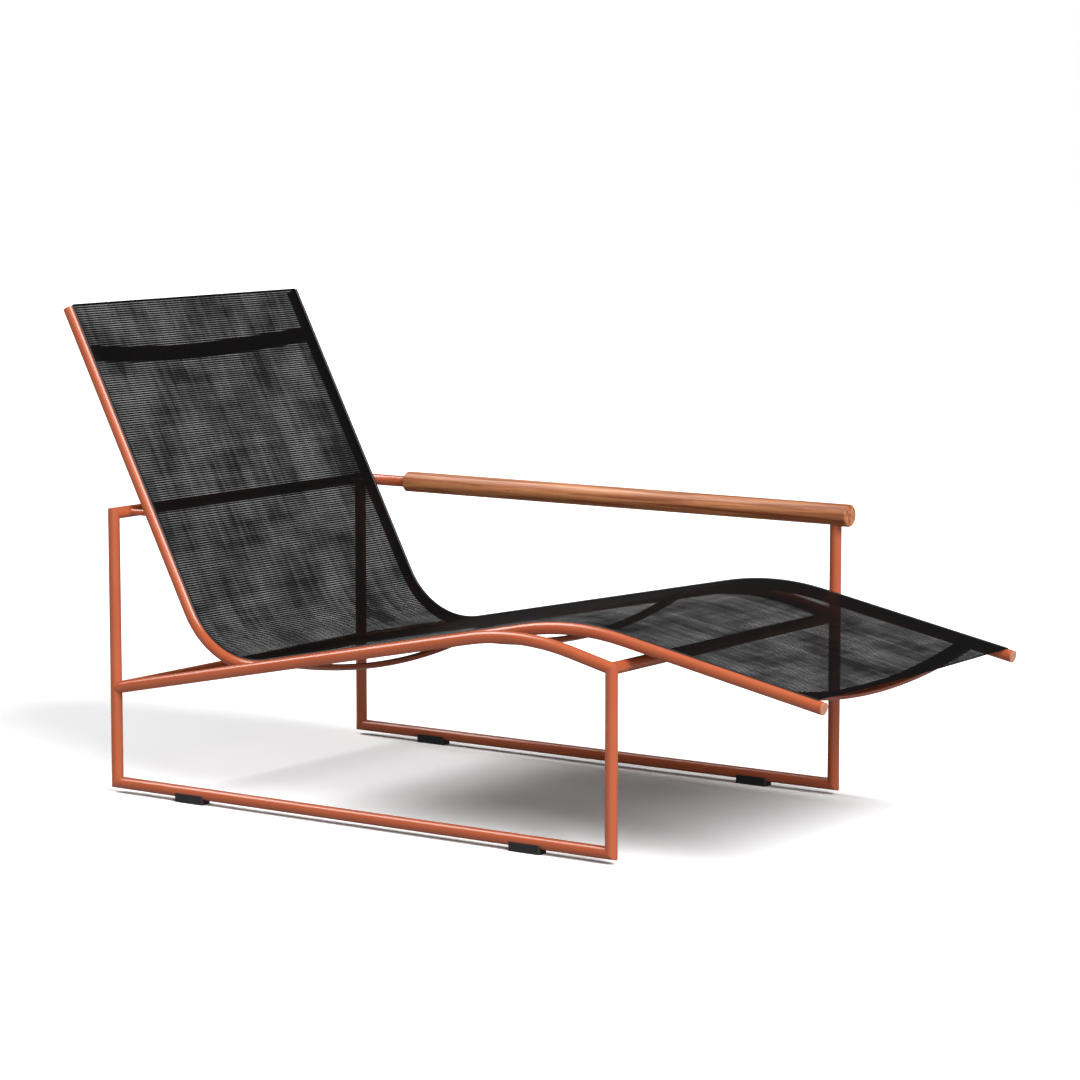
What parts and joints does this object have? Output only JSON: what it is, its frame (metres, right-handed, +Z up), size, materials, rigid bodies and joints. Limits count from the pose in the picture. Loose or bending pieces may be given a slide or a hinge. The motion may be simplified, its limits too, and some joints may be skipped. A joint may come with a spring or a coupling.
{
  "type": "reclining sun lounger",
  "caption": "Outdoor lounger: a woven sling on a bent-tube seat frame, on a base of looped tubes that rises on one side to carry a round timber armrest.",
  "frame": {"origin": "middle of the outline in plan, on the floor under the glides", "axes": "+X from the head to the foot, +Y to the sitter's left, where the armrest is, +Z up"},
  "size_m": [1.653, 0.779, 0.9067],
  "materials": {
    "powder_coated_tube": "satin terracotta powder coat on steel tube",
    "teak": "oiled teak, sanded smooth",
    "black_nylon": "moulded black nylon",
    "end_plugs": "moulded plastic in the frame's colour",
    "edge_cord": "black extruded cord",
    "sling_mesh": "open weave of coated black yarn",
    "stainless_fixings": "stainless steel"
  },
  "bodies": {
    "root": {"right_rear_post": "powder_coated_tube", "right_runner": "powder_coated_tube", "right_front_post": "powder_coated_tube", "right_support_rail": "powder_coated_tube", "left_rear_post": "powder_coated_tube", "left_runner": "powder_coated_tube", "left_front_post": "powder_coated_tube", "left_support_rail": "powder_coated_tube", "arm_tube": "powder_coated_tube", "rear_top_crossbar": "powder_coated_tube", "rear_lower_crossbar": "powder_coated_tube", "front_crossbar": "powder_coated_tube", "timber_armrest": "teak", "armrest_screws": "stainless_fixings", "right_rear_glide": "black_nylon", "right_front_glide": "black_nylon", "left_rear_glide": "black_nylon", "left_front_glide": "black_nylon", "glide_screws": "stainless_fixings", "right_seat_rail": "powder_coated_tube", "left_seat_rail": "powder_coated_tube", "head_bow": "powder_coated_tube", "seat_bow": "powder_coated_tube", "thigh_bow": "powder_coated_tube", "foot_bow": "powder_coated_tube", "right_head_plug": "end_plugs", "right_foot_plug": "end_plugs", "left_head_plug": "end_plugs", "left_foot_plug": "end_plugs", "side_spacers": "powder_coated_tube", "back_spacers": "powder_coated_tube", "seat_bolts": "stainless_fixings", "saddle_washers": "black_nylon", "right_edge_cord": "edge_cord", "left_edge_cord": "edge_cord", "sling": "sling_mesh"}
  },
  "joints": []
}
